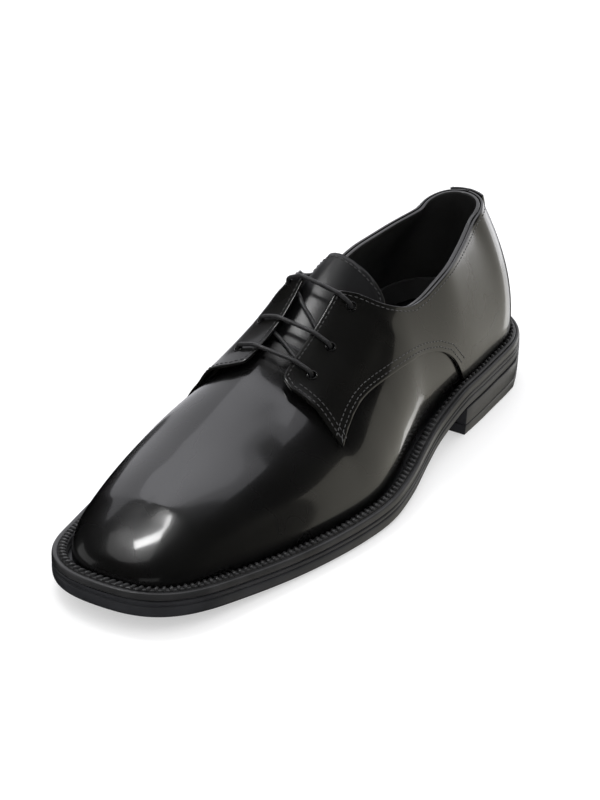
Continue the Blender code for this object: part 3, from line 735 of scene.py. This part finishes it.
# %% Rolled edges of the eyelets
RING_THICKNESS = 0.00042
RING_PAST_HOLE = 0.0001
for side, loops in quarter_loops.items():
    # The borders after the outermost one are the three holes
    rings = []
    for loop in loops[1:4]:
        points = [point for point, _, _ in loop]
        centre = sum(points, Vector()) / len(points)
        facing = sum((normal for _, _, normal in loop), Vector()).normalized()
        radius = sum((point - centre).length for point in points) / len(points)
        deselect_all()
        bpy.ops.mesh.primitive_torus_add(
            major_segments=28,
            minor_segments=8,
            major_radius=radius + RING_PAST_HOLE,
            minor_radius=RING_THICKNESS,
            location=centre,
            rotation=facing.to_track_quat("Z", "Y").to_euler(),
        )
        rings.append(bpy.context.object)
    deselect_all()
    for ring in rings:
        ring.select_set(True)
    bpy.context.view_layer.objects.active = rings[0]
    bpy.ops.object.join()
    bpy.ops.object.transform_apply(location=True, rotation=True, scale=True)
    bpy.ops.object.shade_smooth()
    rings[0].name = f"eyelet_edges_{side}"
    dress(rings[0], leather)
    finished(rings[0])

# %% [markdown]
# ## The welt's ribs
#
# A band of slanted ribs runs all round the welt, between its flat rim and the groove beside the upper.
# The border of the welt's flat top gives the line, as it did for the stitches.

# %% Ribs of the welt
RIB_PITCH = 0.0033
RIB_LENGTH = 0.0040
RIB_WIDTH = 0.0021
RIB_SLANT = radians(66)
RIB_RISE = 0.0001
BAND_AT_TOE = 0.0042
BAND_AT_HEEL = 0.0030


def rounded(line):
    """A closed line with its corners cut twice."""
    for _ in range(2):
        cut = []
        for here, there in zip(line, line[1:] + line[:1]):
            cut += [here.lerp(there, 0.25), here.lerp(there, 0.75)]
        line = cut
    return line


def band_depth(y):
    """How far inside the welt's edge the band runs: deeper at the toe than at the heel."""
    share = min(max(0.5 - y / shoe_length, 0), 1)
    return BAND_AT_HEEL + (BAND_AT_TOE - BAND_AT_HEEL) * share


level_and_lateral = lambda face: (face.normal.z > 0.9, face.calc_center_median().x)
rim = outer_borders(welt_shape, level_and_lateral)[0]
# The points of this line lie a whole metre inside, so a share of the way to them is a depth in metres
metre_inside = beside(rim, 1.0)
band = []
for (point, _, _), inside in zip(rim, metre_inside):
    band.append(point.lerp(inside, band_depth(point.y)))
band = rounded(band)

rib = model_bead(RIB_LENGTH, RIB_WIDTH)
places = even_steps(band + band[:1], RIB_PITCH)
ribs = copies_along("welt_ribs", rib, places, surface_of(welt), RIB_RISE, RIB_SLANT)
dress(ribs, welt_rubber)
finished(ribs)

# %% Remove the models that were only copied
for model in (stitch, rib):
    bpy.data.objects.remove(model)
for mesh in (*quarter_shapes.values(), tongue_shape, tab_shape, welt_shape):
    mesh.free()

# %% [markdown]
# ## Studio
#
# The photograph is a product shot on white. The floor glows a little, as a lit table does, so the
# shadows stay pale. Broad panels stand where the leather mirrors them. The camera keeps the
# photograph's angle to the shoe.

# %% White floor
deselect_all()
bpy.ops.mesh.primitive_plane_add(size=6, location=(0, 0, -0.0002))
floor = bpy.context.object
floor.name = "studio_floor"
floor_white = new_material("studio white", (0.55, 0.55, 0.553), 0.9)
floor_shader = floor_white.node_tree.nodes["Principled BSDF"]
floor_shader.inputs["Emission Color"].default_value = (1, 1, 1, 1)
floor_shader.inputs["Emission Strength"].default_value = 0.45
dress(floor, floor_white)

# %% Lights
# Polished leather is a mirror, so each panel stands where the shoe should show it. A panel's place is
# its compass angle from +X, its height angle and its distance, all as seen from the shoe. The corner
# spot hangs close over the toe, so that the leather beside the throat doesn't mirror it.
SHOE_CENTRE = Vector((0, 0, 0.040))


def light_panel(name, azimuth, elevation, distance, size, brightness, colour=(1, 1, 1), roll=0):
    """A panel that faces the shoe. Its brightness is what a camera would see, whatever its size."""
    turn, tilt = radians(azimuth), radians(elevation)
    way = Vector((cos(turn) * cos(tilt), sin(turn) * cos(tilt), sin(tilt)))
    data = bpy.data.lights.new(name, "AREA")
    data.shape = "RECTANGLE"
    data.size, data.size_y = size
    data.energy = brightness * pi * size[0] * size[1]
    data.color = colour
    light = bpy.data.objects.new(name, data)
    light.location = SHOE_CENTRE + way * distance
    facing = (-way).to_track_quat("-Z", "Y") @ Quaternion((0, 0, 1), radians(roll))
    light.rotation_euler = facing.to_euler()
    bpy.context.collection.objects.link(light)


light_panel("back sky", 111, 24, 1.6, (2.5, 3.0), 0.72, (1.0, 1.0, 1.05), roll=-12)
light_panel("sky rim", 118, 57, 1.6, (1.2, 0.5), 0.6, (1.0, 1.0, 1.05), roll=-6)
light_panel("warm wall", 53, -14, 2.0, (1.85, 2.8), 0.52, (1.0, 0.96, 0.84), roll=10)
light_panel("heel strip", 84, -6, 2.0, (0.72, 1.5), 1.4)
light_panel("overhead", -160, 68, 1.6, (0.7, 0.75), 0.55)
light_panel("corner spot", -149, 68, 0.503, (0.05, 0.15), 20)
light_panel("left fill", -155, 12, 2.0, (1.6, 1.0), 0.35)
light_panel("front fill", -62, 5, 2.4, (1.8, 0.8), 0.20)

world = bpy.data.worlds.new("studio")
bpy.context.scene.world = world
world.use_nodes = True
background = world.node_tree.nodes["Background"]
background.inputs["Color"].default_value = (1, 1, 1, 1)
background.inputs["Strength"].default_value = 1.25
# The leather mirrors the panels only, not the white world or the floor. Some panels reach below the
# floor, so the floor casts no shadow.
world.cycles_visibility.glossy = False
floor.visible_glossy = False
floor.visible_shadow = False
bpy.context.scene.view_settings.view_transform = "Standard"

# %% Camera
CAMERA_PLACE = Vector((1.093, -1.695, 1.127))
camera_data = bpy.data.cameras.new("camera")
camera_data.sensor_width = 36
camera_data.lens = 232
camera = bpy.data.objects.new("camera", camera_data)
camera.location = CAMERA_PLACE
camera.rotation_euler = (SHOE_CENTRE - CAMERA_PLACE).to_track_quat("-Z", "Y").to_euler()
bpy.context.collection.objects.link(camera)
bpy.context.scene.camera = camera
